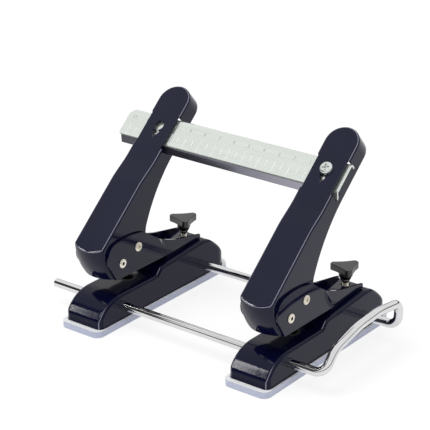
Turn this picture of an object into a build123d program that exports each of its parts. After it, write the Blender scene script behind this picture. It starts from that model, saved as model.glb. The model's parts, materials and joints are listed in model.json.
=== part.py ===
from build123d import *
import os
from math import atan2, cos, degrees, hypot, pi, radians, sin, tan

os.makedirs("parts", exist_ok=True)

# Two equal punch heads stand side by side along X, their paper throats open towards -Y.
# Every piece of a head is drawn with the head's middle plane at X = 0 and placed at the end.
HEAD_SPACING = 112.5

# Chip tray: a shallow pan that the base stands in
TRAY_LENGTH = 122.0
TRAY_WIDTH = 27.9
TRAY_HEIGHT = 3.6
TRAY_FLOOR = 1.0
TRAY_RIM = 1.2
TRAY_LIP = 2.2
TRAY_FIT = 0.15
FRONT_CORNER = 4.4
REAR_FLAT = 7.9

# Base: a pressed hood with drafted sides, a low throat floor and a rising rear deck
SEAT_HEIGHT = 2.2
BASE_WALL = 1.4
BASE_DRAFT = 1.0
BASE_EDGE = 2.0
CURVE_FOOT = 3.0
NOSE_LENGTH = 19.0
NOSE_LEAD = 0.8
THROAT_FLOOR = 18.6
STEP_FOOT = -7.8
STEP_RUN = 3.8
STEP_BLEND = 1.4
DECK_FRONT = 22.5
DECK_REAR = 25.2
TAIL_LENGTH = 24.0
TAIL_LEAD = 0.8
TAIL_MIDDLE = (46.8, 20.0)
TAIL_FALL = (0.3, -1.0)

# Guide rod: one round wire whose two legs pass through both bases
ROD_DIAMETER = 5.0
ROD_FIT = 0.08
ROD_HALF_LENGTH = 93.0
FRONT_ROD_Y = -38.7
FRONT_ROD_Z = 12.0
REAR_ROD_Y = 31.9
REAR_ROD_Z = 11.8
ROD_CHAMFER = 0.5
ROD_BEND = 6.0
BAR_FOOT = (-29.5, 22.5)
BAR_FOOT_BEND = 14.0
BAR_SHOULDER = (-8.0, 27.4)
BAR_SHOULDER_BEND = 45.0
BAR_CREST = (11.0, 28.3)
BAR_CREST_BEND = 45.0
BAR_REAR = (32.5, 25.6)

# Bracket: a channel, wide round the lever, that jogs in and down to a narrow tail on the base's deck
BRACKET_BOTTOM = 27.7
BRACKET_DROP = 2.1
BRACKET_SHEET = 1.2
BRACKET_FRONT = -41.7
BRACKET_REAR = 36.6
BRACKET_TAIL_WIDTH = 16.8
FLOOR_STEP = (3.0, 6.0)
CHEEK_FRONT_LOW = (-46.0, 35.0)
CHEEK_FRONT_MIDDLE = (-48.2, 43.5)
CHEEK_TOP_FRONT = (-43.0, 49.2)
CHEEK_TOP_MIDDLE = (-31.0, 50.4)
CHEEK_TOP_REAR = (-17.6, 48.6)
CHEEK_SWEEP = [(-5.6, 40.7), (3.0, 36.2), (12.0, 33.0), (24.0, 30.4)]
CHEEK_END = 28.0
FOLD_CROWN = 51.0
OUTER_FOLD = (4.8, -12.2)
INNER_FOLD = (6.0, -1.6)

# Riser between base and bracket
RISER_WIDTH = 14.6
RISER_FRONT = 7.0
RISER_REAR = 25.5

# Rivets through bracket, riser and base
RIVET_SHANK = 4.0
RIVET_HEAD = 6.6
RIVET_HEAD_HEIGHT = 1.4
RIVET_FRONT_Y = 11.0
RIVET_PITCH = 9.5

# Lever: an inverted channel whose flat face rises to the rear
LEVER_WIDTH = 20.5
LEVER_SHEET = 1.2
LEVER_FRONT_Y = -51.25
LEVER_FRONT_Z = 48.4
LEVER_ANGLE = 41.3
LEVER_LENGTH = 107.8
LEVER_EDGE = 1.3
LEVER_NOSE_EDGE = 2.2
LEVER_BLOCK_START = 12.0
JOGGLE_START = 42.0
JOGGLE_LENGTH = 18.0
JOGGLE_DROP = 1.5
WALL_DEPTH = 12.3
WALL_FLARE_START = 72.0
WALL_FLARE_END = 29.0
WALL_FLARE_DEPTH = 22.8
NOSE_FOOT_Y = -43.5
NOSE_FOOT_Z = 28.4
NOSE_STEP_Y = -41.9
NOSE_BULGE = 1.6
NOSE_CROWN = 2.7
CHEEK_GAP = 0.25

# Pivot, stops and stroke of the lever
PIVOT_Y = -36.8
PIVOT_Z = 36.3
PIVOT_DIAMETER = 4.0
PIVOT_FIT = 0.05
STOP_Y = -23.3
STOP_Z = 41.65
STOP_DIAMETER = 3.0
STOP_FIT = 0.3
STROKE = 32.0
STOP_SPARE = 1.5
EYELET_HEAD = 5.4
EYELET_HEIGHT = 0.9
EYELET_HOLE = 2.0
EYELET_ROLL = 0.6
EYELET_DIMPLE = 1.2
HEEL_LIFT = 0.3
HEEL_LENGTH = 20.0

# Punch, its die, guide and spring
PUNCH_DIAMETER = 6.0
PUNCH_FIT = 0.06
PUNCH_Y = -19.5
PUNCH_TIP = 28.0
PUNCH_LENGTH = 19.0
PUNCH_HEAD = 11.4
PUNCH_HEAD_HEIGHT = 1.6
PUNCH_CHAMFER = 0.4
PUNCH_LAND = 0.4
PUNCH_HOLLOW = 1.2
GUIDE_DIAMETER = 9.0
GUIDE_TOP = 33.0
GUIDE_CHAMFER = 0.5
DIE_DIAMETER = 11.0
DIE_FLANGE = 14.0
DIE_FLANGE_HEIGHT = 1.6
DIE_RELIEF = 7.0
SPRING_WIRE = 1.0
SPRING_GAP = 0.3
DRIVE_BAR = 4.0
DRIVE_GAP = 0.1

# Thumb screw that clamps the rear leg of the rod
SCREW_DIAMETER = 4.0
SCREW_FIT = 0.05
SCREW_PASSAGE = 0.6
SCREW_TIP_GAP = 0.3
SCREW_ROOT = 6.0
SCREW_SHOULDER = 2.0
SCREW_CHAMFER = 0.7
NUT_WIDTH = 7.0
NUT_HEIGHT = 3.2
KNOB_BOTTOM = 30.4
KNOB_TOP = 38.6
KNOB_HEAD_HEIGHT = 3.6
KNOB_REACH = 8.7
KNOB_LOBE = 2.3
KNOB_WAIST = 5.0
KNOB_NECK = 7.6
KNOB_NECK_FOOT = 5.8
KNOB_NECK_TAPER = 2.0
KNOB_HOLLOW = 30.0
KNOB_TURN = -44.0
KNOB_EDGE = 0.6

# Ruler: a channel through slots in both levers, held in the right one by a screw
RULER_WIDTH = 20.5
RULER_SHEET = 1.0
RULER_DEPTH = 3.8
RULER_FLARE = 2.7
RULER_BEND = 1.4
RULER_MIDDLE = 78.05
RULER_DROP = 2.1
RULER_LEFT = -81.0
RULER_OVERHANG = 0.8
RULER_FRONT_CORNER = (2.2, 1.2)
RULER_REAR_CORNER = 3.4
RULER_SLOT_FIT = 0.4
RULER_SLOT_NOTCH = 1.4
KEYHOLE_AT = 81.0
KEYHOLE_DIAMETER = 6.0
KEYHOLE_NECK = 2.4
POINTER_TIP = 72.5
POINTER_BASE = 77.6
POINTER_WIDTH = 5.2
RULER_SCREW = 4.0
RULER_SCREW_FIT = 0.1
RULER_SCREW_HEAD = 7.2
RULER_SCREW_HEAD_HEIGHT = 2.2
RULER_SCREW_ROUND = 1.2
RULER_SCREW_SOCKET = 1.0
RULER_SCREW_CROSS = 4.0
RULER_SCREW_SLOT = 0.9
RULER_SCREW_TURN = 20.0
RULER_NUT_WIDTH = 7.0
RULER_NUT_HEIGHT = 3.2

# Alignment of round pieces that stand on, or hang under, a height
STANDING = (Align.CENTER, Align.CENTER, Align.MIN)
HANGING = (Align.CENTER, Align.CENTER, Align.MAX)

# Derived places of the base
base_half_length = TRAY_LENGTH / 2 - TRAY_RIM - TRAY_LIP
base_front = -base_half_length
deck_front_y = STEP_FOOT + STEP_RUN
deck_rear_y = base_half_length - TAIL_LENGTH
lining_slope = (DECK_REAR - DECK_FRONT) / (deck_rear_y - deck_front_y - BASE_WALL)

# Derived places of the bracket
lever_half = LEVER_WIDTH / 2
cheek_inner = lever_half + CHEEK_GAP
cheek_outer = cheek_inner + BRACKET_SHEET
bracket_floor_top = BRACKET_BOTTOM + BRACKET_SHEET
tail_bottom = BRACKET_BOTTOM - BRACKET_DROP
tail_floor_top = tail_bottom + BRACKET_SHEET
channel_end = BRACKET_REAR + BRACKET_SHEET
rivet_places = [(0, RIVET_FRONT_Y), (0, RIVET_FRONT_Y + RIVET_PITCH)]

# Derived places of the lever, pivot and drive
along = Vector(0, cos(radians(LEVER_ANGLE)), sin(radians(LEVER_ANGLE)))
inward = Vector(0, sin(radians(LEVER_ANGLE)), -cos(radians(LEVER_ANGLE)))
stop_radius = hypot(STOP_Y - PIVOT_Y, STOP_Z - PIVOT_Z)
stop_angle = degrees(atan2(STOP_Z - PIVOT_Z, STOP_Y - PIVOT_Y))
heel_radius = PIVOT_Z - bracket_floor_top - HEEL_LIFT
punch_top = PUNCH_TIP + PUNCH_LENGTH
drive_z = punch_top + DRIVE_GAP + DRIVE_BAR / 2
ruler_top = JOGGLE_DROP + RULER_DROP
ruler_low = RULER_MIDDLE - RULER_WIDTH / 2
ruler_high = RULER_MIDDLE + RULER_WIDTH / 2
ruler_right = HEAD_SPACING / 2 + lever_half + RULER_OVERHANG


def lining_height(y):
    """Height of the rear deck's underside at y."""
    return DECK_FRONT - BASE_WALL + lining_slope * (y - deck_front_y - BASE_WALL)


def on_lever(t, s):
    """(y, z) of a point t along the lever's face from its front edge and s below it."""
    point = Vector(0, LEVER_FRONT_Y, LEVER_FRONT_Z) + along * t + inward * s
    return (point.Y, point.Z)


def lever_plane(x, t, s):
    """Plane parallel to the lever's face, x across it, normal out of the face."""
    y, z = on_lever(t, s)
    return Plane(origin=(x, y, z), x_dir=(1, 0, 0), z_dir=inward * -1)


def foot_outline(inset, lip):
    """Plan outline of tray and base, inset all round and by lip more at both ends."""
    with BuildSketch() as outline:
        Rectangle(TRAY_WIDTH - 2 * inset, TRAY_LENGTH - 2 * inset - 2 * lip)
        fillet(outline.vertices().group_by(Axis.Y)[0], FRONT_CORNER - inset)
        fillet(outline.vertices().group_by(Axis.Y)[-1], (TRAY_WIDTH - REAR_FLAT) / 2 - inset)
    return outline.sketch


def hood(skin):
    """Solid of the base hood with its skin moved inwards by skin."""
    nose_centre = base_front + NOSE_LENGTH
    nose_reach = NOSE_LENGTH + NOSE_LEAD - skin
    tail_end = base_half_length + TAIL_LEAD - skin
    floor = THROAT_FLOOR - skin
    deck = [(deck_front_y + skin, DECK_FRONT - skin), (deck_rear_y, DECK_REAR - skin)]
    with BuildPart() as body:
        with BuildSketch(Plane.XY.offset(SEAT_HEIGHT)):
            add(foot_outline(TRAY_RIM + skin, TRAY_LIP))
        extrude(amount=DECK_REAR, taper=BASE_DRAFT)
        with BuildSketch(Plane.YZ) as side:
            with BuildLine():
                EllipticalCenterArc((nose_centre, CURVE_FOOT), nose_reach, floor - CURVE_FOOT, start_angle=90)
                step = Polyline((nose_centre, floor), (STEP_FOOT + skin, floor), *deck)
                middle = (TAIL_MIDDLE[0] - skin, TAIL_MIDDLE[1] - skin)
                Spline(deck[1], middle, (tail_end, CURVE_FOOT), tangents=[step % 1, TAIL_FALL])
                Polyline(
                    (tail_end, CURVE_FOOT),
                    (tail_end, 0),
                    (nose_centre - nose_reach, 0),
                    (nose_centre - nose_reach, CURVE_FOOT),
                )
            make_face()
            corners = side.vertices().filter_by_position(Axis.X, STEP_FOOT - 1, deck_front_y + skin + 1)
            fillet(corners.filter_by_position(Axis.Y, floor - 1, DECK_REAR), STEP_BLEND)
        extrude(amount=TRAY_WIDTH, both=True, mode=Mode.INTERSECT)
        if skin == 0:
            crown = body.faces().filter_by(lambda face: face.normal_at().Z > 0.3)
            fillet(crown.edges().filter_by(Axis.X, reverse=True), BASE_EDGE)
    return body.part


hood_outside = hood(0)
hood_inside = hood(BASE_WALL)

# Chip tray with a ledge for the base's lower edge
with BuildPart() as chip_tray:
    add(extrude(foot_outline(0, 0), TRAY_HEIGHT))
    with BuildSketch(Plane.XY.offset(SEAT_HEIGHT)):
        add(foot_outline(TRAY_RIM - TRAY_FIT, TRAY_LIP))
    extrude(amount=TRAY_HEIGHT, mode=Mode.SUBTRACT)
    with BuildSketch(Plane.XY.offset(TRAY_FLOOR)):
        add(foot_outline(TRAY_RIM + BASE_WALL, TRAY_LIP))
    extrude(amount=TRAY_HEIGHT, mode=Mode.SUBTRACT)

# Base hood with its rod bores, die seat and screw passage
with BuildPart() as base:
    add(hood_outside)
    add(hood_inside, mode=Mode.SUBTRACT)
    with BuildSketch(Plane.YZ):
        with Locations((FRONT_ROD_Y, FRONT_ROD_Z), (REAR_ROD_Y, REAR_ROD_Z)):
            Circle(ROD_DIAMETER / 2 + ROD_FIT)
    extrude(amount=TRAY_WIDTH, both=True, mode=Mode.SUBTRACT)
    with BuildSketch(Plane.XY.offset(tail_bottom)):
        with Locations((0, PUNCH_Y)):
            Circle(DIE_DIAMETER / 2)
        with Locations((0, REAR_ROD_Y)):
            Circle(SCREW_DIAMETER / 2 + SCREW_PASSAGE)
        with Locations(*rivet_places):
            Circle(RIVET_SHANK / 2)
    extrude(amount=SEAT_HEIGHT + ROD_DIAMETER - tail_bottom, mode=Mode.SUBTRACT)

# Riser on the base's deck
with BuildPart() as riser:
    with BuildSketch(Plane.XY.offset(tail_bottom)):
        with Locations((0, (RISER_FRONT + RISER_REAR) / 2)):
            Rectangle(RISER_WIDTH, RISER_REAR - RISER_FRONT)
        with Locations(*rivet_places):
            Circle(RIVET_SHANK / 2, mode=Mode.SUBTRACT)
    extrude(amount=THROAT_FLOOR - tail_bottom)
    add(hood_outside, mode=Mode.SUBTRACT)


def channel(inset):
    """Space between the bracket's walls, folded in towards the tail, its sides moved inwards by inset."""
    wide = cheek_outer - inset
    narrow = BRACKET_TAIL_WIDTH / 2 - inset
    with BuildPart() as space:
        for height, outer_y, inner_y in zip((tail_bottom, FOLD_CROWN), OUTER_FOLD, INNER_FOLD):
            side = [(wide, LEVER_FRONT_Y), (wide, outer_y), (narrow, inner_y), (narrow, channel_end)]
            with BuildSketch(Plane.XY.offset(height)):
                Polygon(*side, *[(-x, y) for x, y in reversed(side)], align=None)
        loft(ruled=True)
    return space.part


channel_outside = channel(0)
channel_inside = channel(BRACKET_SHEET)

# Hollow of the bracket above its stepped floor, open at both ends
with BuildPart() as bracket_hollow:
    with BuildSketch(Plane.YZ):
        Polygon(
            (LEVER_FRONT_Y, bracket_floor_top),
            (FLOOR_STEP[0], bracket_floor_top),
            (FLOOR_STEP[1], tail_floor_top),
            (channel_end, tail_floor_top),
            (channel_end, FOLD_CROWN),
            (LEVER_FRONT_Y, FOLD_CROWN),
            align=None,
        )
    extrude(amount=cheek_outer, both=True)
    add(channel_inside, mode=Mode.INTERSECT)

# Bracket: its side view cut from the folded channel, then hollowed and pierced
with BuildPart() as bracket:
    with BuildSketch(Plane.YZ):
        with BuildLine():
            Polyline(
                (BRACKET_FRONT, BRACKET_BOTTOM),
                (FLOOR_STEP[0], BRACKET_BOTTOM),
                (FLOOR_STEP[1], tail_bottom),
                (BRACKET_REAR, tail_bottom),
                (BRACKET_REAR, CHEEK_END),
            )
            Spline((BRACKET_REAR, CHEEK_END), *reversed(CHEEK_SWEEP), CHEEK_TOP_REAR)
            ThreePointArc(CHEEK_TOP_REAR, CHEEK_TOP_MIDDLE, CHEEK_TOP_FRONT)
            ThreePointArc(CHEEK_TOP_FRONT, CHEEK_FRONT_MIDDLE, CHEEK_FRONT_LOW)
            Line(CHEEK_FRONT_LOW, (BRACKET_FRONT, BRACKET_BOTTOM))
        make_face()
        with Locations((PIVOT_Y, PIVOT_Z)):
            Circle(PIVOT_DIAMETER / 2, mode=Mode.SUBTRACT)
        with Locations((STOP_Y, STOP_Z)):
            Circle(STOP_DIAMETER / 2, mode=Mode.SUBTRACT)
    extrude(amount=cheek_outer, both=True)
    add(channel_outside, mode=Mode.INTERSECT)
    add(bracket_hollow.part, mode=Mode.SUBTRACT)
    with BuildSketch(Plane.XY.offset(tail_bottom)):
        with Locations((0, REAR_ROD_Y)):
            Circle(SCREW_DIAMETER / 2 + SCREW_PASSAGE)
        with Locations(*rivet_places):
            Circle(RIVET_SHANK / 2)
        with Locations((0, PUNCH_Y)):
            Circle(GUIDE_DIAMETER / 2)
    extrude(amount=bracket_floor_top - tail_bottom, mode=Mode.SUBTRACT)

# Two rivets through bracket, riser and base, with a flat tail under the deck
with BuildPart() as bracket_rivets:
    for x, y in rivet_places:
        tail_top = lining_height(y - RIVET_HEAD / 2)
        with BuildSketch(Plane.XZ.offset(-y)) as rivet_half:
            with BuildLine():
                Polyline(
                    (0, tail_floor_top + RIVET_HEAD_HEIGHT),
                    (0, tail_top - RIVET_HEAD_HEIGHT),
                    (RIVET_HEAD / 2, tail_top - RIVET_HEAD_HEIGHT),
                    (RIVET_HEAD / 2, tail_top),
                    (RIVET_SHANK / 2, tail_top),
                    (RIVET_SHANK / 2, tail_floor_top),
                    (RIVET_HEAD / 2, tail_floor_top),
                )
                TangentArc(
                    (0, tail_floor_top + RIVET_HEAD_HEIGHT),
                    (RIVET_HEAD / 2, tail_floor_top),
                    tangent=(1, 0),
                )
            make_face()
        revolve(axis=Axis((x, y, 0), (0, 0, 1)))

# Die button: flush with the throat floor, flanged below it, relieved towards the tray
with BuildPart() as die:
    flange_top = THROAT_FLOOR - BASE_WALL
    with Locations((0, PUNCH_Y, flange_top)):
        Cylinder(DIE_DIAMETER / 2, BASE_WALL, align=STANDING)
        Cylinder(DIE_FLANGE / 2, DIE_FLANGE_HEIGHT, align=HANGING)
    with Locations((0, PUNCH_Y, THROAT_FLOOR)):
        Hole(PUNCH_DIAMETER / 2 + PUNCH_FIT, BASE_WALL + DIE_FLANGE_HEIGHT)
    with Locations((0, PUNCH_Y, flange_top)):
        Hole(DIE_RELIEF / 2, DIE_FLANGE_HEIGHT)

# Guide bush of the punch, set in the bracket floor
with BuildPart() as punch_guide:
    with Locations((0, PUNCH_Y, BRACKET_BOTTOM)):
        Cylinder(GUIDE_DIAMETER / 2, GUIDE_TOP - BRACKET_BOTTOM, align=STANDING)
    chamfer(punch_guide.edges().group_by(Axis.Z)[-1], GUIDE_CHAMFER)
    with Locations((0, PUNCH_Y, GUIDE_TOP)):
        Hole(PUNCH_DIAMETER / 2 + PUNCH_FIT, GUIDE_TOP - BRACKET_BOTTOM)

# Punch with a flat head, its tip hollow-ground
with BuildPart() as punch_pin:
    with Locations((0, PUNCH_Y, PUNCH_TIP)):
        Cylinder(PUNCH_DIAMETER / 2, PUNCH_LENGTH, align=STANDING)
    with Locations((0, PUNCH_Y, punch_top)):
        Cylinder(PUNCH_HEAD / 2, PUNCH_HEAD_HEIGHT, align=HANGING)
    chamfer(punch_pin.edges().group_by(Axis.Z)[-1], PUNCH_CHAMFER)
    with Locations((0, PUNCH_Y, PUNCH_TIP)):
        Cone(PUNCH_DIAMETER / 2 - PUNCH_LAND, 0, PUNCH_HOLLOW, align=STANDING, mode=Mode.SUBTRACT)

# Return spring as a closed sleeve of its turns, from the bracket floor to the punch head
spring_inner = GUIDE_DIAMETER / 2 + SPRING_GAP
spring_length = punch_top - PUNCH_HEAD_HEIGHT - bracket_floor_top
with BuildPart() as return_spring:
    with Locations((0, PUNCH_Y, bracket_floor_top)):
        Cylinder(spring_inner + SPRING_WIRE, spring_length, align=STANDING)
        Cylinder(spring_inner, spring_length, align=STANDING, mode=Mode.SUBTRACT)

# Pivot: a hollow rivet through both cheeks, with a rolled head outside each
with BuildPart() as pivot_rivet:
    with BuildSketch(Plane.YZ):
        with Locations((PIVOT_Y, PIVOT_Z)):
            Circle(PIVOT_DIAMETER / 2)
    extrude(amount=cheek_outer, both=True)
    for face_x, outwards in ((cheek_outer, 1), (-cheek_outer, -1)):
        with BuildSketch(Plane.YZ.offset(face_x)):
            with Locations((PIVOT_Y, PIVOT_Z)):
                Circle(EYELET_HEAD / 2)
        extrude(amount=outwards * EYELET_HEIGHT)
    rims = pivot_rivet.edges().filter_by(GeomType.CIRCLE).group_by(SortBy.RADIUS)[-1]
    fillet(rims.group_by(Axis.X)[0] + rims.group_by(Axis.X)[-1], EYELET_ROLL)
    with BuildSketch(Plane.YZ):
        with Locations((PIVOT_Y, PIVOT_Z)):
            Circle(EYELET_HOLE / 2)
    extrude(amount=cheek_outer + 2 * EYELET_HEIGHT, both=True, mode=Mode.SUBTRACT)

# Stop studs: one in each cheek, its inner end in the lever's curved slot
stop_inner = lever_half - LEVER_SHEET + STOP_FIT
with BuildPart() as stop_rivets:
    for outwards in (1, -1):
        with BuildSketch(Plane.YZ.offset(outwards * stop_inner)):
            with Locations((STOP_Y, STOP_Z)):
                Circle(STOP_DIAMETER / 2)
        extrude(amount=outwards * (cheek_outer - stop_inner))
        with BuildSketch(Plane.YZ.offset(outwards * cheek_outer)):
            with Locations((STOP_Y, STOP_Z)):
                Circle(EYELET_HEAD / 2)
        extrude(amount=outwards * EYELET_HEIGHT)
    rims = stop_rivets.edges().filter_by(GeomType.CIRCLE).group_by(SortBy.RADIUS)[-1]
    fillet(rims.group_by(Axis.X)[0] + rims.group_by(Axis.X)[-1], EYELET_ROLL)
    for outwards in (1, -1):
        with BuildSketch(Plane.YZ.offset(outwards * (cheek_outer + EYELET_HEIGHT))):
            with Locations((STOP_Y, STOP_Z)):
                Circle(EYELET_HOLE / 2)
        extrude(amount=-outwards * EYELET_DIMPLE, mode=Mode.SUBTRACT)


def lever_envelope(skin):
    """Space inside the lever's sides, crowned nose and round end, moved inwards by skin."""
    half = lever_half - skin
    chord = hypot(NOSE_FOOT_Y - LEVER_FRONT_Y, NOSE_FOOT_Z - LEVER_FRONT_Z)
    rim = (chord**2 / 4 + NOSE_BULGE**2) / (2 * NOSE_BULGE)
    back = Vector(0, LEVER_FRONT_Z - NOSE_FOOT_Z, NOSE_FOOT_Y - LEVER_FRONT_Y).normalized()
    middle = Vector(0, (LEVER_FRONT_Y + NOSE_FOOT_Y) / 2, (LEVER_FRONT_Z + NOSE_FOOT_Z) / 2)
    hub = middle + back * (rim - NOSE_BULGE)
    with BuildPart() as envelope:
        with BuildSketch(Plane(origin=hub, x_dir=(1, 0, 0), z_dir=back.cross(Vector(1, 0, 0)))):
            with BuildLine():
                Polyline((-half, skin - rim), (-half, 0), (half, 0), (half, skin - rim))
                ThreePointArc((half, skin - rim), (0, skin - rim - NOSE_CROWN), (-half, skin - rim))
            make_face()
        revolve(axis=Axis(hub, (1, 0, 0)))
        with BuildSketch(lever_plane(0, 0, -LEVER_LENGTH)) as plan:
            with Locations((0, LEVER_BLOCK_START)):
                Rectangle(2 * half, LEVER_LENGTH - skin - half - LEVER_BLOCK_START,
                          align=(Align.CENTER, Align.MIN))
            with Locations((0, LEVER_LENGTH - skin - half)):
                Circle(half)
        extrude(amount=-2 * LEVER_LENGTH)
    return envelope.part


def lever_top(skin):
    """The face's line in side view with its joggle, moved inwards by skin, nose to end."""
    joggle_end = JOGGLE_START + JOGGLE_LENGTH
    start = on_lever(JOGGLE_START, skin)
    end = on_lever(joggle_end, skin + JOGGLE_DROP)
    slope = (along.Y, along.Z)
    Line(on_lever(-LEVER_WIDTH, skin), start)
    Spline(start, end, tangents=[slope, slope])
    Line(end, on_lever(LEVER_LENGTH + LEVER_WIDTH, skin + JOGGLE_DROP))


lever_outside = lever_envelope(0)
lever_inside = lever_envelope(LEVER_SHEET)

# Hollow of the lever, open below
with BuildPart() as lever_hollow:
    with BuildSketch(Plane.YZ):
        with BuildLine():
            lever_top(LEVER_SHEET)
            Polyline(
                on_lever(LEVER_LENGTH + LEVER_WIDTH, LEVER_SHEET + JOGGLE_DROP),
                on_lever(LEVER_LENGTH + LEVER_WIDTH, LEVER_LENGTH),
                on_lever(-LEVER_WIDTH, LEVER_LENGTH),
                on_lever(-LEVER_WIDTH, LEVER_SHEET),
            )
        make_face()
    extrude(amount=LEVER_WIDTH, both=True)
    add(lever_inside, mode=Mode.INTERSECT)

stop_arc = CenterArc((PIVOT_Y, PIVOT_Z), stop_radius, stop_angle - STOP_SPARE, STROKE + 2 * STOP_SPARE)
front_slot = RULER_FLARE + RULER_SHEET + 2 * RULER_SLOT_FIT
rear_slot = RULER_SHEET + 2 * RULER_SLOT_FIT
flange_slot_end = ruler_top + RULER_DEPTH + RULER_SLOT_FIT
ruler_slot = [
    (ruler_low - RULER_SLOT_FIT, ruler_high + RULER_SLOT_FIT, ruler_top + RULER_SHEET + RULER_SLOT_FIT),
    (ruler_low - RULER_SLOT_FIT, ruler_low - RULER_SLOT_FIT + front_slot, flange_slot_end),
    (ruler_high + RULER_SLOT_FIT - rear_slot, ruler_high + RULER_SLOT_FIT, flange_slot_end),
]
heel_foot = (PIVOT_Y + heel_radius * sin(radians(STROKE)), PIVOT_Z - heel_radius * cos(radians(STROKE)))
heel_end = (
    heel_foot[0] + HEEL_LENGTH * cos(radians(STROKE)),
    heel_foot[1] + HEEL_LENGTH * sin(radians(STROKE)),
)

with BuildPart() as lever:
    with BuildSketch(Plane.YZ):
        with BuildLine():
            lever_top(0)
            Polyline(
                on_lever(LEVER_LENGTH + LEVER_WIDTH, JOGGLE_DROP),
                on_lever(LEVER_LENGTH + LEVER_WIDTH, WALL_DEPTH),
                on_lever(WALL_FLARE_START, WALL_DEPTH),
            )
            TangentArc(
                on_lever(WALL_FLARE_START, WALL_DEPTH),
                on_lever(WALL_FLARE_END, WALL_FLARE_DEPTH),
                tangent=(-along.Y, -along.Z),
            )
            Polyline(on_lever(WALL_FLARE_END, WALL_FLARE_DEPTH), heel_end, heel_foot)
            CenterArc((PIVOT_Y, PIVOT_Z), heel_radius, STROKE - 90, -STROKE)
            Polyline(
                (PIVOT_Y, PIVOT_Z - heel_radius),
                (NOSE_STEP_Y, PIVOT_Z - heel_radius),
                (NOSE_FOOT_Y, NOSE_FOOT_Z),
                (NOSE_FOOT_Y - LEVER_WIDTH, NOSE_FOOT_Z),
                on_lever(-LEVER_WIDTH, 0),
            )
        make_face()
    extrude(amount=LEVER_WIDTH, both=True)
    add(lever_outside, mode=Mode.INTERSECT)
    nose_sides = lever.edges().filter_by(GeomType.CIRCLE).filter_by(Plane.YZ)
    fillet(nose_sides.sort_by(Axis.Y)[:2], LEVER_NOSE_EDGE)
    face_side = lever.faces().filter_by(lambda face: face.normal_at().dot(inward) < -0.95)
    fillet(face_side.edges().filter_by(Axis.X, reverse=True), LEVER_EDGE)
    add(lever_hollow.part, mode=Mode.SUBTRACT)
    with BuildSketch(Plane.YZ):
        with Locations((PIVOT_Y, PIVOT_Z)):
            Circle(PIVOT_DIAMETER / 2 + PIVOT_FIT)
        SlotArc(stop_arc, STOP_DIAMETER + 2 * STOP_FIT)
    extrude(amount=LEVER_WIDTH, both=True, mode=Mode.SUBTRACT)
    for wall_x, outwards in ((lever_half - RULER_SLOT_NOTCH, 1), (RULER_SLOT_NOTCH - lever_half, -1)):
        with BuildSketch(Plane.YZ.offset(wall_x)):
            for t_low, t_high, s_high in ruler_slot:
                Polygon(
                    on_lever(t_low, 0),
                    on_lever(t_high, 0),
                    on_lever(t_high, s_high),
                    on_lever(t_low, s_high),
                    align=None,
                )
        extrude(amount=outwards * RULER_SLOT_NOTCH * 2, mode=Mode.SUBTRACT)
    with BuildSketch(lever_plane(0, 0, 0)):
        with Locations((0, KEYHOLE_AT)):
            Circle(KEYHOLE_DIAMETER / 2)
        with Locations((0, POINTER_BASE)):
            Rectangle(KEYHOLE_NECK, KEYHOLE_AT - POINTER_BASE, align=(Align.CENTER, Align.MIN))
        Polygon(
            (0, POINTER_TIP),
            (POINTER_WIDTH / 2, POINTER_BASE),
            (-POINTER_WIDTH / 2, POINTER_BASE),
            align=None,
        )
    extrude(amount=-JOGGLE_DROP - 2 * LEVER_SHEET, mode=Mode.SUBTRACT)

# Drive bar welded between the lever's walls over the punch head
with BuildPart() as drive_bar:
    with BuildSketch(Plane.YZ):
        with Locations((PUNCH_Y, drive_z)):
            Circle(DRIVE_BAR / 2)
    extrude(amount=lever_half - LEVER_SHEET, both=True)

# Nut of the thumb screw, under the base's deck
with BuildPart() as clamp_nut:
    with BuildSketch(Plane.XY.offset(lining_height(REAR_ROD_Y - NUT_WIDTH / 2))):
        with Locations((0, REAR_ROD_Y)):
            RegularPolygon(NUT_WIDTH / 2, 6, major_radius=False)
            Circle(SCREW_DIAMETER / 2 + SCREW_FIT, mode=Mode.SUBTRACT)
    extrude(amount=-NUT_HEIGHT)

# Shank of the thumb screw with a cone under the knob, its tip on the rear leg of the rod
screw_tip = REAR_ROD_Z + ROD_DIAMETER / 2 + SCREW_TIP_GAP
with BuildPart() as clamp_screw:
    with Locations((0, REAR_ROD_Y, screw_tip)):
        Cylinder(SCREW_DIAMETER / 2, KNOB_BOTTOM + SCREW_ROOT - screw_tip, align=STANDING)
    chamfer(clamp_screw.edges().group_by(Axis.Z)[0], SCREW_CHAMFER)
    with Locations((0, REAR_ROD_Y, KNOB_BOTTOM)):
        Cone(SCREW_DIAMETER / 2, KNOB_NECK_FOOT / 2, SCREW_SHOULDER, align=HANGING)

# Three-cornered thumb knob: a lobed head on a round neck
with BuildPart() as clamp_knob:
    neck_top = KNOB_TOP - KNOB_HEAD_HEIGHT
    with BuildSketch(Plane.XY.offset(neck_top)) as lobes:
        with Locations((0, REAR_ROD_Y)):
            with PolarLocations(KNOB_REACH - KNOB_LOBE, 3, KNOB_TURN):
                Circle(KNOB_LOBE)
        make_hull()
        with Locations((0, REAR_ROD_Y)):
            with PolarLocations(KNOB_HOLLOW + KNOB_WAIST, 3, KNOB_TURN + 60):
                Circle(KNOB_HOLLOW, mode=Mode.SUBTRACT)
    extrude(amount=KNOB_HEAD_HEIGHT)
    with Locations((0, REAR_ROD_Y, neck_top)):
        Cylinder(KNOB_NECK / 2, neck_top - KNOB_BOTTOM - KNOB_NECK_TAPER, align=HANGING)
    with Locations((0, REAR_ROD_Y, KNOB_BOTTOM)):
        Cone(KNOB_NECK_FOOT / 2, KNOB_NECK / 2, KNOB_NECK_TAPER, align=STANDING)
    fillet(clamp_knob.edges().group_by(Axis.Z)[-1], KNOB_EDGE)
    with Locations((0, REAR_ROD_Y, KNOB_BOTTOM)):
        Cylinder(SCREW_DIAMETER / 2, SCREW_ROOT, align=STANDING, mode=Mode.SUBTRACT)

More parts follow.
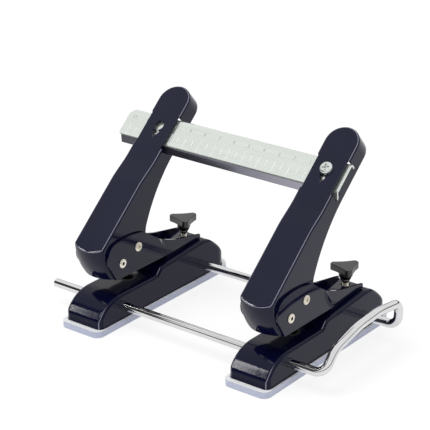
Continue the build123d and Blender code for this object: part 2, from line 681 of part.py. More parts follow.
# Ruler: a channel with a sloping front flange under the lever's face, the corners of its left end cut off
screw_x = HEAD_SPACING / 2
ruler_foot = ruler_top + RULER_DEPTH
flare_angle = atan2(RULER_FLARE, RULER_DEPTH)
scale_low = ruler_low + RULER_FLARE
with BuildPart() as ruler:
    with BuildSketch(Plane.YZ.offset(RULER_LEFT)):
        Polygon(
            on_lever(ruler_low, ruler_foot),
            on_lever(scale_low, ruler_top),
            on_lever(ruler_high, ruler_top),
            on_lever(ruler_high, ruler_foot),
            on_lever(ruler_high - RULER_SHEET, ruler_foot),
            on_lever(ruler_high - RULER_SHEET, ruler_top + RULER_SHEET),
            on_lever(scale_low + RULER_SHEET * tan(pi / 4 - flare_angle / 2), ruler_top + RULER_SHEET),
            on_lever(ruler_low + RULER_SHEET / cos(flare_angle), ruler_foot),
            align=None,
        )
    extrude(amount=ruler_right - RULER_LEFT)
    depth_axis = Axis((0, 0, 0), inward)
    fillet(ruler.edges().filter_by(Axis.X).sort_by(depth_axis)[2:4], RULER_BEND - RULER_SHEET)
    fillet(ruler.edges().filter_by(Axis.X).sort_by(depth_axis)[:2], RULER_BEND)
    with BuildSketch(lever_plane(0, 0, 0)):
        Polygon(
            (RULER_LEFT, scale_low + RULER_FRONT_CORNER[1]),
            (RULER_LEFT + RULER_FRONT_CORNER[0], scale_low),
            (RULER_LEFT + RULER_FRONT_CORNER[0], ruler_low),
            (ruler_right, ruler_low),
            (ruler_right, ruler_high),
            (RULER_LEFT + RULER_REAR_CORNER, ruler_high),
            (RULER_LEFT, ruler_high - RULER_REAR_CORNER),
            align=None,
        )
    extrude(amount=-ruler_foot, mode=Mode.INTERSECT)
    with BuildSketch(lever_plane(screw_x, KEYHOLE_AT, 0)):
        Circle(RULER_SCREW / 2 + RULER_SCREW_FIT)
    extrude(amount=-ruler_foot, mode=Mode.SUBTRACT)

# Screw with a crossed slot that holds the ruler to the right lever, and its nut
shank_length = ruler_top + RULER_SHEET + RULER_NUT_HEIGHT - JOGGLE_DROP
with BuildPart() as ruler_screw:
    with BuildSketch(lever_plane(screw_x, KEYHOLE_AT, JOGGLE_DROP)):
        Circle(RULER_SCREW_HEAD / 2)
    extrude(amount=RULER_SCREW_HEAD_HEIGHT)
    fillet(ruler_screw.edges().sort_by(Axis((0, 0, 0), inward))[0], RULER_SCREW_ROUND)
    with BuildSketch(lever_plane(screw_x, KEYHOLE_AT, JOGGLE_DROP)):
        Circle(RULER_SCREW / 2)
    extrude(amount=-shank_length)
    with BuildSketch(lever_plane(screw_x, KEYHOLE_AT, JOGGLE_DROP - RULER_SCREW_HEAD_HEIGHT)):
        for turn in (RULER_SCREW_TURN, RULER_SCREW_TURN + 90):
            Rectangle(RULER_SCREW_CROSS, RULER_SCREW_SLOT, rotation=turn)
    extrude(amount=-RULER_SCREW_SOCKET, mode=Mode.SUBTRACT)

with BuildPart() as ruler_nut:
    with BuildSketch(lever_plane(screw_x, KEYHOLE_AT, ruler_top + RULER_SHEET)):
        RegularPolygon(RULER_NUT_WIDTH / 2, 6, major_radius=False)
        Circle(RULER_SCREW / 2, mode=Mode.SUBTRACT)
    extrude(amount=-RULER_NUT_HEIGHT)

# Guide rod: front leg, raised end bar and rear leg in one bent wire
bar_x = ROD_HALF_LENGTH - ROD_DIAMETER / 2
with BuildPart() as guide_rod:
    with BuildLine():
        FilletPolyline(
            (-ROD_HALF_LENGTH, FRONT_ROD_Y, FRONT_ROD_Z),
            (bar_x, FRONT_ROD_Y, FRONT_ROD_Z),
            (bar_x, *BAR_FOOT),
            (bar_x, *BAR_SHOULDER),
            (bar_x, *BAR_CREST),
            (bar_x, *BAR_REAR),
            (bar_x, REAR_ROD_Y, REAR_ROD_Z),
            (-ROD_HALF_LENGTH, REAR_ROD_Y, REAR_ROD_Z),
            radius=[ROD_BEND, BAR_FOOT_BEND, BAR_SHOULDER_BEND, BAR_CREST_BEND, ROD_BEND, ROD_BEND],
        )
    with BuildSketch(Plane(origin=(-ROD_HALF_LENGTH, FRONT_ROD_Y, FRONT_ROD_Z), z_dir=(1, 0, 0))):
        Circle(ROD_DIAMETER / 2)
    sweep()
    chamfer(guide_rod.edges().group_by(Axis.X)[0], ROD_CHAMFER)

# Both heads are equal, so each of their pieces is placed twice
head_pieces = {
    "base": base,
    "chip_tray": chip_tray,
    "riser": riser,
    "bracket": bracket,
    "bracket_rivets": bracket_rivets,
    "die": die,
    "punch_guide": punch_guide,
    "punch_pin": punch_pin,
    "return_spring": return_spring,
    "pivot_rivet": pivot_rivet,
    "stop_rivets": stop_rivets,
    "lever": lever,
    "drive_bar": drive_bar,
    "clamp_nut": clamp_nut,
    "clamp_screw": clamp_screw,
    "clamp_knob": clamp_knob,
}
shared_pieces = {
    "ruler": ruler,
    "ruler_screw": ruler_screw,
    "ruler_nut": ruler_nut,
    "guide_rod": guide_rod,
}

for side, head_x in (("left", -HEAD_SPACING / 2), ("right", HEAD_SPACING / 2)):
    for name, piece in head_pieces.items():
        placed = Pos(head_x, 0, 0) * piece.part
        placed.label = f"{side}_{name}"
        export_step(placed, f"parts/{side}_{name}.step")

for name, piece in shared_pieces.items():
    piece.part.label = name
    export_step(piece.part, f"parts/{name}.step")
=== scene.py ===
import json
import math

import bmesh
import bpy
from mathutils import Matrix, Vector


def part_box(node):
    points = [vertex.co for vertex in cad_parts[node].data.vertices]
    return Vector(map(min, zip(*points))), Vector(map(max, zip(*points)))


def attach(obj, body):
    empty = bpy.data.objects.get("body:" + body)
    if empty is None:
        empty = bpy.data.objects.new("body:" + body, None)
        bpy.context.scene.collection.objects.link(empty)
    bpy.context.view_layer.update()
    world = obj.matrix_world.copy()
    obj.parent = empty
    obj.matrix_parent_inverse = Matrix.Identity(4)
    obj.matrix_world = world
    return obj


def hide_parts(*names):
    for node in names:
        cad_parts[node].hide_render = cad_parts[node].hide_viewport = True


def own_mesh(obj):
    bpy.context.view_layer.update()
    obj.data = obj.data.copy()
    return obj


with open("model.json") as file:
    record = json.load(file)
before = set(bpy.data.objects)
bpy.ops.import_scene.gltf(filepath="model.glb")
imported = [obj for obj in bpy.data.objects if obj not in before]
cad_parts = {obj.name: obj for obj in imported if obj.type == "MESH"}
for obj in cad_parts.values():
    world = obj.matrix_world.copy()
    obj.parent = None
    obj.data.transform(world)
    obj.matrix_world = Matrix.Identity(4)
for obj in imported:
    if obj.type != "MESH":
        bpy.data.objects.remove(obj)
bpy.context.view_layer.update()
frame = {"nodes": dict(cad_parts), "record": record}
nodes = frame["nodes"]
subparts = frame["record"]["subparts"]
scene = bpy.context.scene
MM = 0.001

# Places taken over from the part's source, in millimetres
HEADS = {"left": -56.25, "right": 56.25}
LEVER_FRONT_Y = -51.25
LEVER_FRONT_Z = 48.4
LEVER_ANGLE = math.radians(41.3)
RULER_TOP = 3.6
PUNCH_Y = -19.5
SPRING_FOOT = 28.9
SPRING_TOP = 45.4
SPRING_RADIUS = 5.3
SPRING_WIRE = 0.5
SCREW_Y = 31.9
SCREW_RADIUS = 2.0
SHOULDER_RADIUS = 2.9
SHOULDER_FOOT = 28.4
SHOULDER_TOP = 30.4


def on_lever(x, t, s):
    """Point in metres at x, t along the lever's face from its front edge and s below the face."""
    y = LEVER_FRONT_Y + math.cos(LEVER_ANGLE) * t + math.sin(LEVER_ANGLE) * s
    z = LEVER_FRONT_Z + math.sin(LEVER_ANGLE) * t - math.cos(LEVER_ANGLE) * s
    return Vector((x, y, z)) * MM


# Sockets of a mix node that mixes colours
MIX_LOW = 6
MIX_HIGH = 7
MIX_RESULT = 2


class Tree:
    """A node tree with short calls for the nodes used here."""

    def __init__(self, owner):
        owner.use_nodes = True
        self.tree = owner.node_tree

    def node(self, kind, **values):
        made = self.tree.nodes.new(kind)
        for name, value in values.items():
            setattr(made, name, value)
        return made

    def link(self, source, target):
        self.tree.links.new(source, target)

    def ramp(self, factor, stops):
        """Colour of factor on a ramp of stops, each a place and a colour."""
        made = self.node("ShaderNodeValToRGB")
        elements = made.color_ramp.elements
        while len(elements) < len(stops):
            elements.new(0.5)
        for element, (at, colour) in zip(elements, stops):
            element.position = at
            element.color = (*colour, 1.0)
        self.link(factor, made.inputs["Fac"])
        return made.outputs["Color"]

    def grey_ramp(self, factor, stops):
        return self.ramp(factor, [(at, (level,) * 3) for at, level in stops])

    def span(self, factor, low, high, start=0.0, end=1.0):
        """Factor from start to end, turned into low to high."""
        made = self.node("ShaderNodeMapRange")
        for name, value in zip(("From Min", "From Max", "To Min", "To Max"), (start, end, low, high)):
            made.inputs[name].default_value = value
        self.link(factor, made.inputs["Value"])
        return made.outputs["Result"]

    def mix(self, factor, low, high):
        """Colour from low at 0 to high at 1, each a tuple or a socket."""
        made = self.node("ShaderNodeMix", data_type="RGBA")
        self.link(factor, made.inputs["Factor"])
        for socket, colour in ((made.inputs[MIX_LOW], low), (made.inputs[MIX_HIGH], high)):
            if isinstance(colour, tuple):
                socket.default_value = (*colour, 1.0)
            else:
                self.link(colour, socket)
        return made.outputs[MIX_RESULT]

    def combine(self, operation, first, second):
        made = self.node("ShaderNodeMath", operation=operation)
        self.link(first, made.inputs[0])
        self.link(second, made.inputs[1])
        return made.outputs[0]

    def dot(self, vector, direction):
        made = self.node("ShaderNodeVectorMath", operation="DOT_PRODUCT")
        self.link(vector, made.inputs[0])
        made.inputs[1].default_value = direction
        return made.outputs["Value"]

    def seen_directly(self):
        """1 for rays that show the background: camera, glossy and transmission rays."""
        path = self.node("ShaderNodeLightPath").outputs
        either = self.combine("MAXIMUM", path["Is Camera Ray"], path["Is Glossy Ray"])
        return self.combine("MAXIMUM", either, path["Is Transmission Ray"])


# How far edges look rounded, in metres, and how sharp an edge has to be to look worn
FINE_EDGE = 0.0002
SOFT_EDGE = 0.0003
ROUND_EDGE = 0.0004
BEVEL_SAMPLES = 4
WORN_EDGE = (0.56, 0.70)
TONE_STOPS = (0.3, 0.7)


class Shader(Tree):
    """A material built round its Principled BSDF."""

    def __init__(self, name):
        self.material = bpy.data.materials.new(name)
        super().__init__(self.material)
        self.surface = self.tree.nodes["Principled BSDF"].inputs
        coordinate = self.node("ShaderNodeTexCoord")
        self.place = coordinate.outputs["Object"]
        self.surface_normal = coordinate.outputs["Normal"]

    def noise(self, scale, detail=2.0, stretch=(1, 1, 1)):
        """Noise over the piece; a small number in stretch draws it out along that axis."""
        mapping = self.node("ShaderNodeMapping")
        mapping.inputs["Scale"].default_value = stretch
        self.link(self.place, mapping.inputs["Vector"])
        texture = self.node("ShaderNodeTexNoise")
        texture.inputs["Scale"].default_value = scale
        texture.inputs["Detail"].default_value = detail
        self.link(mapping.outputs["Vector"], texture.inputs["Vector"])
        return texture.outputs["Fac"]

    def tone(self, grain, low, high):
        """Colour that wanders from low to high with the grain."""
        return self.ramp(grain, list(zip(TONE_STOPS, (low, high))))

    def worn_edges(self, colour, worn):
        """Colour that turns to worn on the sharpest outward edges."""
        pointed = self.node("ShaderNodeNewGeometry").outputs["Pointiness"]
        return self.mix(self.span(pointed, 0.0, 1.0, *WORN_EDGE), colour, worn)

    def normal_band(self, direction, stops):
        """Grey level from how far the surface faces along direction, -1 for away to 1 for towards."""
        share = self.span(self.dot(self.surface_normal, direction), 0.0, 1.0, -1.0, 1.0)
        return self.grey_ramp(share, [((at + 1) / 2, level) for at, level in stops])

    def relief(self, height, strength, distance, edge=0.0):
        """Bump from height over edges that look rounded by edge."""
        bump = self.node("ShaderNodeBump")
        bump.inputs["Strength"].default_value = strength
        bump.inputs["Distance"].default_value = distance
        self.link(height, bump.inputs["Height"])
        if edge:
            bevel = self.node("ShaderNodeBevel", samples=BEVEL_SAMPLES)
            bevel.inputs["Radius"].default_value = edge
            self.link(bevel.outputs["Normal"], bump.inputs["Normal"])
        self.link(bump.outputs["Normal"], self.surface["Normal"])

    def finish(self, colour, roughness, **constants):
        """The material, with its colour and roughness linked and its constants set."""
        self.link(colour, self.surface["Base Color"])
        self.link(roughness, self.surface["Roughness"])
        for name, value in constants.items():
            self.surface[name.replace("_", " ")].default_value = value
        return self.material


# Painted highlights: edges along which the enamel is painted paler, by how far the surface faces along a
# direction
LEVER_FACING = (0.0, -math.sin(LEVER_ANGLE), math.cos(LEVER_ANGLE))
LEVER_HIGHLIGHT_BAND = [(0.72, 0.0), (0.80, 1.0), (0.90, 1.0), (0.95, 0.0)]
BASE_HIGHLIGHT_RIGHT = [(0.38, 0.0), (0.45, 1.0), (0.55, 1.0), (0.62, 0.0)]
BASE_HIGHLIGHT_LEFT = [(-at, level) for at, level in reversed(BASE_HIGHLIGHT_RIGHT)]
BASE_FRONT_HIGHLIGHT = [(0.40, 0.0), (0.60, 1.0)]
LEVER_EDGE_HIGHLIGHTS = [(LEVER_FACING, LEVER_HIGHLIGHT_BAND)]
BASE_EDGE_HIGHLIGHTS = [((1, 0, 0), BASE_HIGHLIGHT_LEFT + BASE_HIGHLIGHT_RIGHT), ((0, -1, 0), BASE_FRONT_HIGHLIGHT)]
EDGE_HIGHLIGHT_COLOUR = (0.26, 0.27, 0.34)
ENAMEL_IOR = 1.34
ENAMEL_HAZE = (0.04, 0.07)
BASE_IOR = 1.27
BASE_HAZE = (0.09, 0.12)


def make_enamel(name, edges=(), ior=ENAMEL_IOR, haze=ENAMEL_HAZE):
    """Navy gloss enamel with a faint orange peel, painted paler as a painted highlight where all the edges
    given are met.
    """
    shader = Shader(name)
    tone = shader.tone(shader.noise(55.0, 3.0), (0.0025, 0.0032, 0.0235), (0.0035, 0.0044, 0.0275))
    # Painted highlight: the colour turns pale where the surface faces along every edge band given
    highlighted = EDGE_HIGHLIGHT_COLOUR
    for direction, stops in edges:
        highlighted = shader.mix(shader.normal_band(direction, stops), tone, highlighted)
    shader.relief(shader.noise(700.0, 1.5), 0.006, 0.00004)
    return shader.finish(highlighted if edges else tone, shader.span(shader.noise(160.0), *haze), IOR=ior)


def make_chrome():
    """Bright plating with fine haze and hairline scratches along X."""
    shader = Shader("chrome")
    tone = shader.tone(shader.noise(90.0), (0.66, 0.66, 0.67), (0.72, 0.72, 0.73))
    haze = shader.span(shader.noise(260.0, 3.0, (0.2, 1, 1)), 0.03, 0.08)
    shader.relief(shader.noise(1500.0, 2.0, (0.05, 1, 1)), 0.06, 0.00002, FINE_EDGE)
    return shader.finish(tone, haze, Metallic=1.0)


# Painted reflection on the ruler's front flange: its tone along its length, in millimetres from its left to
# its right end
FLANGE_SPAN = (-81.0, 71.0)
FLANGE_REFLECTION_TONES = [
    (0.00, (0.03, 0.03, 0.04)),
    (0.20, (0.06, 0.06, 0.08)),
    (0.60, (0.22, 0.22, 0.27)),
    (0.88, (0.40, 0.39, 0.45)),
    (0.96, (0.90, 0.93, 0.90)),
]
FLANGE_GRAIN = (0.30, 0.30, 0.34)
FLANGE_GRAIN_SHARE = 0.25
FLANGE_FACING = (-0.90, -0.97)


def make_ruler_steel():
    """Satin plated steel, brushed along its length; its front flange carries a painted reflection, dark at
    the left and bright at the right end.
    """
    shader = Shader("ruler_steel")
    grain = shader.noise(420.0, 3.0, (0.05, 1, 1))
    face = shader.tone(grain, (0.70, 0.74, 0.70), (0.75, 0.79, 0.75))
    along = shader.span(shader.dot(shader.place, (1, 0, 0)), 0.0, 1.0, *(x * MM for x in FLANGE_SPAN))
    streaks = shader.span(grain, 0.0, FLANGE_GRAIN_SHARE)
    # Painted reflection: the flange's colour runs from dark at its left end to bright at its right
    flange = shader.mix(streaks, shader.ramp(along, FLANGE_REFLECTION_TONES), FLANGE_GRAIN)
    forward = shader.span(shader.dot(shader.surface_normal, (0, 1, 0)), 0.0, 1.0, *FLANGE_FACING)
    haze = shader.span(shader.noise(240.0, 2.0, (0.1, 1, 1)), 0.12, 0.20)
    shader.relief(shader.noise(1800.0, 2.0, (0.03, 1, 1)), 0.05, 0.00003, FINE_EDGE)
    return shader.finish(shader.mix(forward, face, flange), haze, Metallic=0.75)


def make_tray():
    """Milky lavender plastic whose upper edges are painted paler, painted light on the faces that point up.
    """
    shader = Shader("tray_plastic")
    tone = shader.tone(shader.noise(40.0), (0.60, 0.64, 0.82), (0.65, 0.69, 0.86))
    # Painted light: faces that point up are mixed towards near white
    upward = shader.dot(shader.node("ShaderNodeNewGeometry").outputs["Normal"], (0, 0, 1))
    tone = shader.mix(upward, tone, (0.97, 0.98, 1.0))
    shader.relief(shader.noise(900.0, 1.0), 0.04, 0.00003, ROUND_EDGE)
    return shader.finish(tone, shader.span(shader.noise(300.0), 0.25, 0.35), IOR=1.46)


def make_nickel():
    """Warm bright nickel of rivets, screws and nuts."""
    shader = Shader("nickel")
    tone = shader.tone(shader.noise(500.0, 3.0), (0.72, 0.67, 0.57), (0.80, 0.75, 0.65))
    shader.relief(shader.noise(2200.0), 0.10, 0.00002, FINE_EDGE)
    worn = shader.worn_edges(tone, (0.92, 0.90, 0.86))
    return shader.finish(worn, shader.span(shader.noise(900.0), 0.12, 0.24), Metallic=1.0)


def make_zinc():
    """Neutral zinc plating of the ruler's screw."""
    shader = Shader("zinc")
    tone = shader.tone(shader.noise(700.0, 3.0), (0.66, 0.70, 0.67), (0.74, 0.77, 0.74))
    shader.relief(shader.noise(2200.0), 0.03, 0.00002, FINE_EDGE)
    return shader.finish(tone, shader.span(shader.noise(900.0), 0.20, 0.32), Metallic=0.9)


def make_turned_steel(name, low, high, haze, **constants):
    """Turned steel of the inner pieces, with fine rings round Z."""
    shader = Shader(name)
    tone = shader.tone(shader.noise(600.0, 3.0, (1, 1, 6)), low, high)
    shader.relief(shader.noise(1500.0, 2.0, (1, 1, 8)), 0.12, 0.00002, FINE_EDGE)
    return shader.finish(tone, shader.span(shader.noise(800.0), *haze), **constants)


def make_knob():
    """Moulded black plastic with a fine grain."""
    shader = Shader("knob_plastic")
    tone = shader.tone(shader.noise(220.0, 3.0), (0.0055, 0.0058, 0.0048), (0.0085, 0.0088, 0.0075))
    shader.relief(shader.noise(2600.0), 0.25, 0.00003, SOFT_EDGE)
    worn = shader.worn_edges(tone, (0.016, 0.016, 0.015))
    return shader.finish(worn, shader.span(shader.noise(700.0), 0.34, 0.46), Specular_IOR_Level=0.85)


def make_scale_mark(name, low, high):
    """Paint of the scale on the ruler."""
    shader = Shader(name)
    tone = shader.tone(shader.noise(800.0), low, high)
    return shader.finish(tone, shader.span(shader.noise(900.0), 0.45, 0.60))


materials = {
    "enamel": make_enamel("enamel"),
    "chrome": make_chrome(),
    "ruler_steel": make_ruler_steel(),
    "tray_plastic": make_tray(),
    "nickel": make_nickel(),
    "steel": make_turned_steel(
        "steel", (0.40, 0.40, 0.41), (0.56, 0.56, 0.57), (0.22, 0.38), Metallic=1.0
    ),
    # Painted shade: the die and punch guide in the paper throat are coloured near black for the shadow
    # there
    "black_steel": make_turned_steel(
        "black_steel", (0.010, 0.010, 0.011), (0.018, 0.018, 0.019), (0.35, 0.50), Specular_IOR_Level=0.2
    ),
    "knob_plastic": make_knob(),
}
tick_material = make_scale_mark("scale_tick", (0.95, 0.97, 0.95), (0.99, 1.0, 0.99))
figure_material = make_scale_mark("scale_figure", (0.40, 0.44, 0.41), (0.52, 0.56, 0.53))

for subpart in subparts:
    mesh = nodes[subpart["node"]].data
    mesh.materials.clear()
    mesh.materials.append(materials[subpart["material_slot"]])
nodes["ruler_screw"].data.materials[0] = make_zinc()
# Lever and base enamel with painted highlights along their edges
lever_enamel_highlit = make_enamel("lever_enamel_highlit", LEVER_EDGE_HIGHLIGHTS)
base_enamel_highlit = make_enamel("base_enamel_highlit", BASE_EDGE_HIGHLIGHTS, BASE_IOR, BASE_HAZE)
for side in HEADS:
    nodes[f"{side}_lever"].data.materials[0] = lever_enamel_highlit
    nodes[f"{side}_base"].data.materials[0] = base_enamel_highlit


def add_object(name, data):
    made = bpy.data.objects.new(name, data)
    scene.collection.objects.link(made)
    return made


def new_piece(name, verts, faces, material):
    """Smooth mesh object of the given points and faces."""
    mesh = bpy.data.meshes.new(name)
    mesh.from_pydata(verts, [], faces)
    mesh.update()
    mesh.polygons.foreach_set("use_smooth", [True] * len(mesh.polygons))
    mesh.materials.append(material)
    return add_object(name, mesh)


def ring_faces(rings, sides):
    """Quads between successive rings of points, and a cap at each end."""
    faces = []
    for i in range(rings - 1):
        for j in range(sides):
            k = (j + 1) % sides
            faces.append((i * sides + j, i * sides + k, (i + 1) * sides + k, (i + 1) * sides + j))
    faces.append(tuple(reversed(range(sides))))
    faces.append(tuple(range((rings - 1) * sides, rings * sides)))
    return faces


COIL_TURNS = 5.5
COIL_STEPS = 40
COIL_SIDES = 10
COIL_DEAD = 0.75


def coil_spring(name, x):
    """Compression spring with closed ends, standing on the bracket floor round the guide bush."""
    low = SPRING_FOOT + SPRING_WIRE
    high = SPRING_TOP - SPRING_WIRE
    count = int(COIL_TURNS * COIL_STEPS)
    path = []
    for i in range(count + 1):
        turn = i / COIL_STEPS
        share = min(max((turn - COIL_DEAD) / (COIL_TURNS - 2 * COIL_DEAD), 0.0), 1.0)
        closed = min(turn / COIL_DEAD, 1.0) + max(turn - COIL_TURNS + COIL_DEAD, 0.0) / COIL_DEAD
        angle = 2 * math.pi * turn
        y = PUNCH_Y + SPRING_RADIUS * math.sin(angle)
        z = low + SPRING_WIRE * closed + share * (high - low - 2 * SPRING_WIRE)
        path.append(Vector((x + SPRING_RADIUS * math.cos(angle), y, z)))
    verts = []
    for i, point in enumerate(path):
        ahead = path[min(i + 1, count)] - path[max(i - 1, 0)]
        outward = Vector((point.x - x, point.y - PUNCH_Y, 0)).normalized()
        upward = ahead.normalized().cross(outward)
        for j in range(COIL_SIDES):
            angle = 2 * math.pi * j / COIL_SIDES
            around = outward * math.cos(angle) - upward * math.sin(angle)
            verts.append((point + around * SPRING_WIRE) * MM)
    return new_piece(name, verts, ring_faces(count + 1, COIL_SIDES), materials["steel"])


THREAD_PITCH = 0.8
THREAD_DEPTH = 0.42
THREAD_FLANK = 0.42
THREAD_SIDES = 40
THREAD_STEPS = 8
THREAD_TAPER = 0.7


def threaded_shank(name, x, low, high):
    """Screw shank with a helical thread, a conical shoulder and a tapered tip."""
    count = int((high - low) / THREAD_PITCH * THREAD_STEPS)
    verts = []
    for i in range(count + 1):
        z = low + (high - low) * i / count
        for j in range(THREAD_SIDES):
            phase = (z / THREAD_PITCH - j / THREAD_SIDES) % 1.0
            groove = max(0.0, 1.0 - abs(phase - 0.5) / THREAD_FLANK)
            radius = SCREW_RADIUS - THREAD_DEPTH * groove - max(0.0, THREAD_TAPER - (z - low))
            if SHOULDER_FOOT <= z <= SHOULDER_TOP:
                rise = (z - SHOULDER_FOOT) / (SHOULDER_TOP - SHOULDER_FOOT)
                radius = SCREW_RADIUS + (SHOULDER_RADIUS - SCREW_RADIUS) * rise
            angle = 2 * math.pi * j / THREAD_SIDES
            verts.append(Vector((x + radius * math.cos(angle), SCREW_Y + radius * math.sin(angle), z)) * MM)
    return new_piece(name, verts, ring_faces(count + 1, THREAD_SIDES), materials["nickel"])


for side, head_x in HEADS.items():
    coil = coil_spring(f"{side}_coil", head_x)
    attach(coil, f"{side}_head")
    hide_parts(f"{side}_return_spring")
    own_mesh(coil)

    low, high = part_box(f"{side}_clamp_screw")
    shank = threaded_shank(f"{side}_thread", head_x, low.z / MM, high.z / MM)
    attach(shank, f"{side}_thumb_screw")
    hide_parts(f"{side}_clamp_screw")

# Scale on the ruler: raised strokes and figures, every 10 mm a long stroke with its number
MARK_HEIGHT = 0.04
STROKE_WIDTH = 0.45
LONG_STROKE = (71.6, 78.9)
SHORT_STROKE = (74.4, 78.2)
FIGURE_AT = 83.2
FIGURE_SIZE = 3.0
SCALE_ZERO = 53.75
SCALE_STEP = 5.0
SCALE_FIRST = 2
SCALE_LAST = 26


def stroke(mesh, x, start, end):
    """A flat bar with sloping sides on the ruler's face."""
    corners = []
    for s, inset in ((RULER_TOP, 0.0), (RULER_TOP - MARK_HEIGHT, MARK_HEIGHT)):
        for dx, t in ((-1, start + inset), (1, start + inset), (1, end - inset), (-1, end - inset)):
            corners.append(mesh.verts.new(on_lever(x + dx * (STROKE_WIDTH / 2 - inset), t, s)))
    mesh.faces.new(corners[4:])
    mesh.faces.new(reversed(corners[:4]))
    for i in range(4):
        k = (i + 1) % 4
        mesh.faces.new((corners[i], corners[k], corners[k + 4], corners[i + 4]))


strokes = bmesh.new()
for count in range(SCALE_FIRST, SCALE_LAST + 1):
    stroke(strokes, SCALE_ZERO - SCALE_STEP * count, *(SHORT_STROKE if count % 2 else LONG_STROKE))
strokes_mesh = bpy.data.meshes.new("ruler_strokes")
strokes.to_mesh(strokes_mesh)
strokes.free()
strokes_mesh.materials.append(tick_material)
ruler_strokes = add_object("ruler_strokes", strokes_mesh)
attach(ruler_strokes, "right_lever")

for count in range(SCALE_FIRST, SCALE_LAST + 1, 2):
    text = bpy.data.curves.new(f"ruler_figure_{count // 2}", "FONT")
    text.body = str(count // 2)
    text.size = FIGURE_SIZE * MM
    text.extrude = MARK_HEIGHT / 2 * MM
    text.align_x = "CENTER"
    text.align_y = "CENTER"
    text.materials.append(figure_material)
    figure = add_object(text.name, text)
    figure.rotation_euler = (LEVER_ANGLE, 0, 0)
    figure.location = on_lever(SCALE_ZERO - SCALE_STEP * count, FIGURE_AT, RULER_TOP - MARK_HEIGHT / 2)
    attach(figure, "right_lever")

# Floor: white with a soft shadow
FLOOR_HALF = 3.0
FLOOR_LEVEL = -0.0002
FLOOR_COLOUR = 0.85
FLOOR_SHADE = 0.30
FLOOR_GLOW = 0.76
CORNERS = ((-1, -1), (1, -1), (1, 1), (-1, 1))
floor_mesh = bpy.data.meshes.new("floor")
floor_verts = [(x * FLOOR_HALF, y * FLOOR_HALF, FLOOR_LEVEL) for x, y in CORNERS]
floor_mesh.from_pydata(floor_verts, [], [(0, 1, 2, 3)])
floor = add_object("floor", floor_mesh)

floor_material = bpy.data.materials.new("floor")
ground = Tree(floor_material)
ground.tree.nodes.clear()
plain = ground.node("ShaderNodeBsdfDiffuse")
plain.inputs["Color"].default_value = (*(FLOOR_COLOUR,) * 3, 1.0)
shaded = ground.node("ShaderNodeBsdfDiffuse")
shaded.inputs["Color"].default_value = (*(FLOOR_SHADE,) * 3, 1.0)
glow = ground.node("ShaderNodeEmission")
glow.inputs["Strength"].default_value = FLOOR_GLOW
both = ground.node("ShaderNodeAddShader")
ground.link(shaded.outputs[0], both.inputs[0])
ground.link(glow.outputs[0], both.inputs[1])
switch = ground.node("ShaderNodeMixShader")
ground.link(ground.seen_directly(), switch.inputs["Fac"])
ground.link(plain.outputs[0], switch.inputs[1])
ground.link(both.outputs[0], switch.inputs[2])
ground.link(switch.outputs[0], ground.node("ShaderNodeOutputMaterial").inputs["Surface"])
floor_mesh.materials.append(floor_material)

# World: an even bright studio with a dark gap at the front left and a dark band over the horizon;
# the camera itself sees plain white
SKY = 0.74
GAP_DIRECTION = (-0.60, -0.62, 0.50)
GAP_OUTER = math.cos(math.radians(23))
GAP_INNER = math.cos(math.radians(16))
GAP_LEVEL = 0.04
BAND = [(0.03, 1.0), (0.07, 0.08), (0.19, 0.08), (0.30, 1.0)]
WHITE = (1.0, 1.0, 1.0)
scene.world = bpy.data.worlds.new("studio")
studio = Tree(scene.world)
background = studio.tree.nodes["Background"].inputs
direction = studio.node("ShaderNodeTexCoord").outputs["Generated"]
towards_gap = studio.dot(direction, Vector(GAP_DIRECTION).normalized())
gap = studio.span(towards_gap, 1.0, GAP_LEVEL, GAP_OUTER, GAP_INNER)
band = studio.grey_ramp(studio.dot(direction, (0, 0, 1)), BAND)
level = studio.span(studio.seen_directly(), SKY, 1.0)
room = studio.combine("MULTIPLY", studio.combine("MULTIPLY", gap, band), level)
camera_ray = studio.node("ShaderNodeLightPath").outputs["Is Camera Ray"]
studio.link(studio.mix(camera_ray, room, WHITE), background["Color"])
background["Strength"].default_value = 1.0


def lamp(name, place, towards, along, size, radiance, receivers=None):
    """Rectangular lamp at place that shines against towards, its second side laid along.

    With receivers it is a highlight, seen as a reflection in those pieces only.
    """
    light = bpy.data.lights.new(name, "AREA")
    light.shape = "RECTANGLE"
    light.size, light.size_y = size
    light.energy = radiance * math.pi * light.size * light.size_y
    holder = add_object(name, light)
    facing = Vector(towards).normalized()
    upright = (Vector(along) - facing * Vector(along).dot(facing)).normalized()
    axes = Matrix((upright.cross(facing), upright, facing)).transposed()
    holder.matrix_world = Matrix.Translation(Vector(place)) @ axes.to_4x4()
    holder.visible_camera = False
    holder.visible_glossy = bool(receivers)
    holder.visible_diffuse = not receivers
    if receivers:
        holder.light_linking.receiver_collection = receivers


def pieces_of(slot):
    """Collection of the nodes that carry a material slot."""
    group = bpy.data.collections.new(f"{slot}_pieces")
    for subpart in subparts:
        if subpart["material_slot"] == slot:
            group.objects.link(nodes[subpart["node"]])
    return group


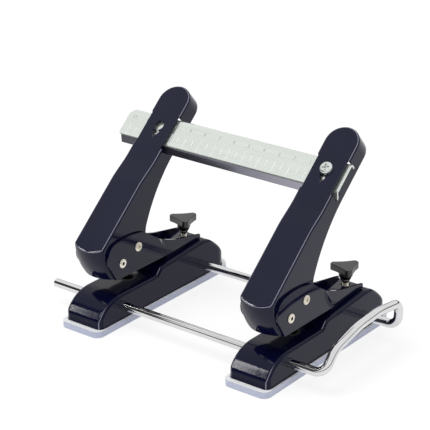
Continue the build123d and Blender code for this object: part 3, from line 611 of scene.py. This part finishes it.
# Two tall strips at the front left, seen in the noses of the bases; the right one also in the rod
STRIP_MIDDLE = Vector((-0.420, -0.667, 0.473))
STRIP_FACING = Vector((-0.525, -0.679, 0.514))
STRIP_ALONG = Vector((0.004, 0.601, 0.799))
STRIP_ACROSS = STRIP_ALONG.cross(STRIP_FACING).normalized()
RIGHT_STRIP_PLACE = STRIP_MIDDLE - STRIP_ACROSS * 0.053 + STRIP_ALONG * 0.08
RIGHT_STRIP_SIZE = (0.114, 0.446)
LEFT_STRIP_PLACE = STRIP_MIDDLE - STRIP_ACROSS * 0.256
LEFT_STRIP_SIZE = (0.130, 0.300)
STRIP_RADIANCE = 22.0
ROD_STRIP_RADIANCE = 0.9
enamel_pieces = pieces_of("enamel")
RIGHT_STRIP = (RIGHT_STRIP_PLACE, STRIP_FACING, STRIP_ALONG, RIGHT_STRIP_SIZE)
LEFT_STRIP = (LEFT_STRIP_PLACE, STRIP_FACING, STRIP_ALONG, LEFT_STRIP_SIZE)
lamp("right_strip", *RIGHT_STRIP, STRIP_RADIANCE, enamel_pieces)
lamp("left_strip", *LEFT_STRIP, STRIP_RADIANCE, enamel_pieces)
lamp("rod_strip", *RIGHT_STRIP, ROD_STRIP_RADIANCE, pieces_of("chrome"))

# Soft key from above
KEY_PLACE = (-0.35, -0.45, 1.5)
KEY_FACING = (-0.22, -0.29, 0.93)
KEY_SIZE = (1.0, 1.0)
KEY_RADIANCE = 3.0
lamp("key", KEY_PLACE, KEY_FACING, (0, 1, 0), KEY_SIZE, KEY_RADIANCE)

# Camera at the photograph's viewing angle
AZIMUTH = math.radians(37.44)
ELEVATION = math.radians(22.52)
FIELD = math.radians(14.63)
DISTANCE = 0.9087
TARGET = Vector((-0.00567, -0.0042, 0.06406))
SENSOR = 36.0
CLIP = (0.05, 20.0)
level_reach = math.cos(ELEVATION)
back = Vector((math.sin(AZIMUTH) * level_reach, -math.cos(AZIMUTH) * level_reach, math.sin(ELEVATION)))
lens = bpy.data.cameras.new("camera")
lens.sensor_width = SENSOR
lens.lens = SENSOR / 2 / math.tan(FIELD / 2)
lens.clip_start, lens.clip_end = CLIP
camera = add_object("camera", lens)
camera.location = TARGET + back * DISTANCE
camera.rotation_euler = back.to_track_quat("Z", "Y").to_euler()
scene.camera = camera
scene.view_settings.view_transform = "Standard"
